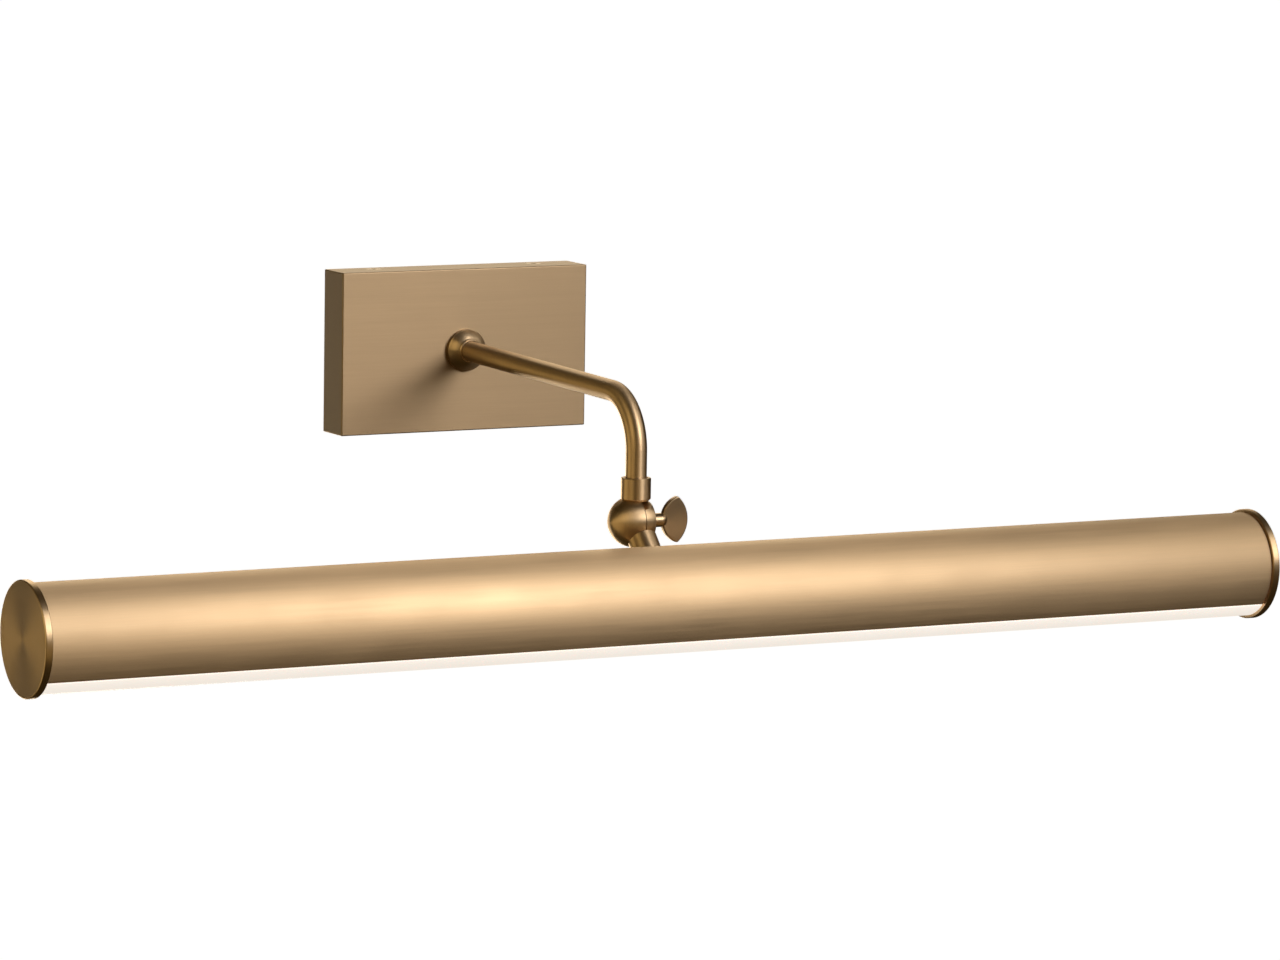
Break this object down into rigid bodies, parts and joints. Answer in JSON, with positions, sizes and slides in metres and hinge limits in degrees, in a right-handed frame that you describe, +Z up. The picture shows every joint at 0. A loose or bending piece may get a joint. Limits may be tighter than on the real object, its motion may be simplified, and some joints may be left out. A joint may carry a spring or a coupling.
{
  "type": "picture light",
  "caption": "Wall-mounted picture light: long round shade with a curved diffuser strip, on a bent tube arm with a ball swivel and thumb screw, fixed to a shallow rectangular backplate.",
  "frame": {"origin": "on the wall plane, at the centre of the backplate's open back, midway between the two wiring-box screw slots", "axes": "+X along the shade, to the right as seen from the room; +Y into the wall; +Z up"},
  "size_m": [0.6148, 0.2486, 0.1535],
  "materials": {
    "satin_brass": "brushed satin",
    "turned_brass": "turned satin",
    "opal_acrylic": "opal, satin",
    "aluminium": "mill finish",
    "zinc_steel": "zinc plated",
    "green_screw": "green passivated",
    "nylon": "natural nylon",
    "black_plastic": "moulded",
    "white_plastic": "moulded",
    "board_white": "solder mask",
    "board_green": "solder mask",
    "led_yellow": "phosphor",
    "thermal_grey": "thermal pad",
    "lead_black": "insulation",
    "lead_white": "insulation",
    "lead_green": "insulation",
    "lead_red": "insulation",
    "cable_grey": "sheath"
  },
  "bodies": {
    "wall_mount": {"backplate_cover": "satin_brass", "mounting_bracket": "zinc_steel", "cover_screws": "turned_brass", "ground_screw": "green_screw", "arm_flange": "turned_brass", "arm_tube": "satin_brass", "arm_lock_washer": "zinc_steel", "arm_lock_nut": "zinc_steel", "arm_bushing": "black_plastic", "supply_cable_arm": "cable_grey", "line_lead": "lead_black", "neutral_lead": "lead_white", "ground_lead": "lead_green", "swivel_upper_half": "turned_brass", "swivel_friction_washer": "nylon"},
    "head": {"board_link": "white_plastic", "board_screws": "zinc_steel", "cap_set_screws": "zinc_steel", "diffuser": "opal_acrylic", "driver_board": "board_green", "driver_case": "white_plastic", "driver_lid": "white_plastic", "driver_output_leads": "lead_red", "driver_screws": "zinc_steel", "end_cap_left": "turned_brass", "end_cap_right": "turned_brass", "led_board_left": "board_white", "led_board_right": "board_white", "led_chips": "led_yellow", "led_rail": "aluminium", "neck_bushing": "black_plastic", "neck_nipple": "zinc_steel", "neck_nut": "zinc_steel", "neck_saddle_washer": "zinc_steel", "rail_screws": "zinc_steel", "shade_tube": "satin_brass", "supply_cable_head": "cable_grey", "swivel_lower_half": "turned_brass", "thermal_pads": "thermal_grey"},
    "clamp_washer": {"thumb_screw_washer": "zinc_steel"},
    "thumb_screw": {"thumb_screw": "turned_brass"}
  },
  "joints": [
    {"name": "head_tilt", "type": "hinge", "parent": "wall_mount", "child": "head", "pos_m": [0, -0.1934, -0.0588], "axis": [1, 0, 0], "range_deg": [-4, 90]},
    {"name": "clamp_travel", "type": "slide", "parent": "wall_mount", "child": "clamp_washer", "axis": [1, 0, 0], "range_m": [0, 0.001]},
    {"name": "thumb_screw_turn", "type": "hinge", "parent": "clamp_washer", "child": "thumb_screw", "pos_m": [0, -0.1934, -0.0588], "axis": [1, 0, 0], "range_deg": [0, 359.9]}
  ],
  "couplings": [
    {"joint": "clamp_travel", "follows": "thumb_screw_turn", "m_per_rad": 0.00015915}
  ]
}
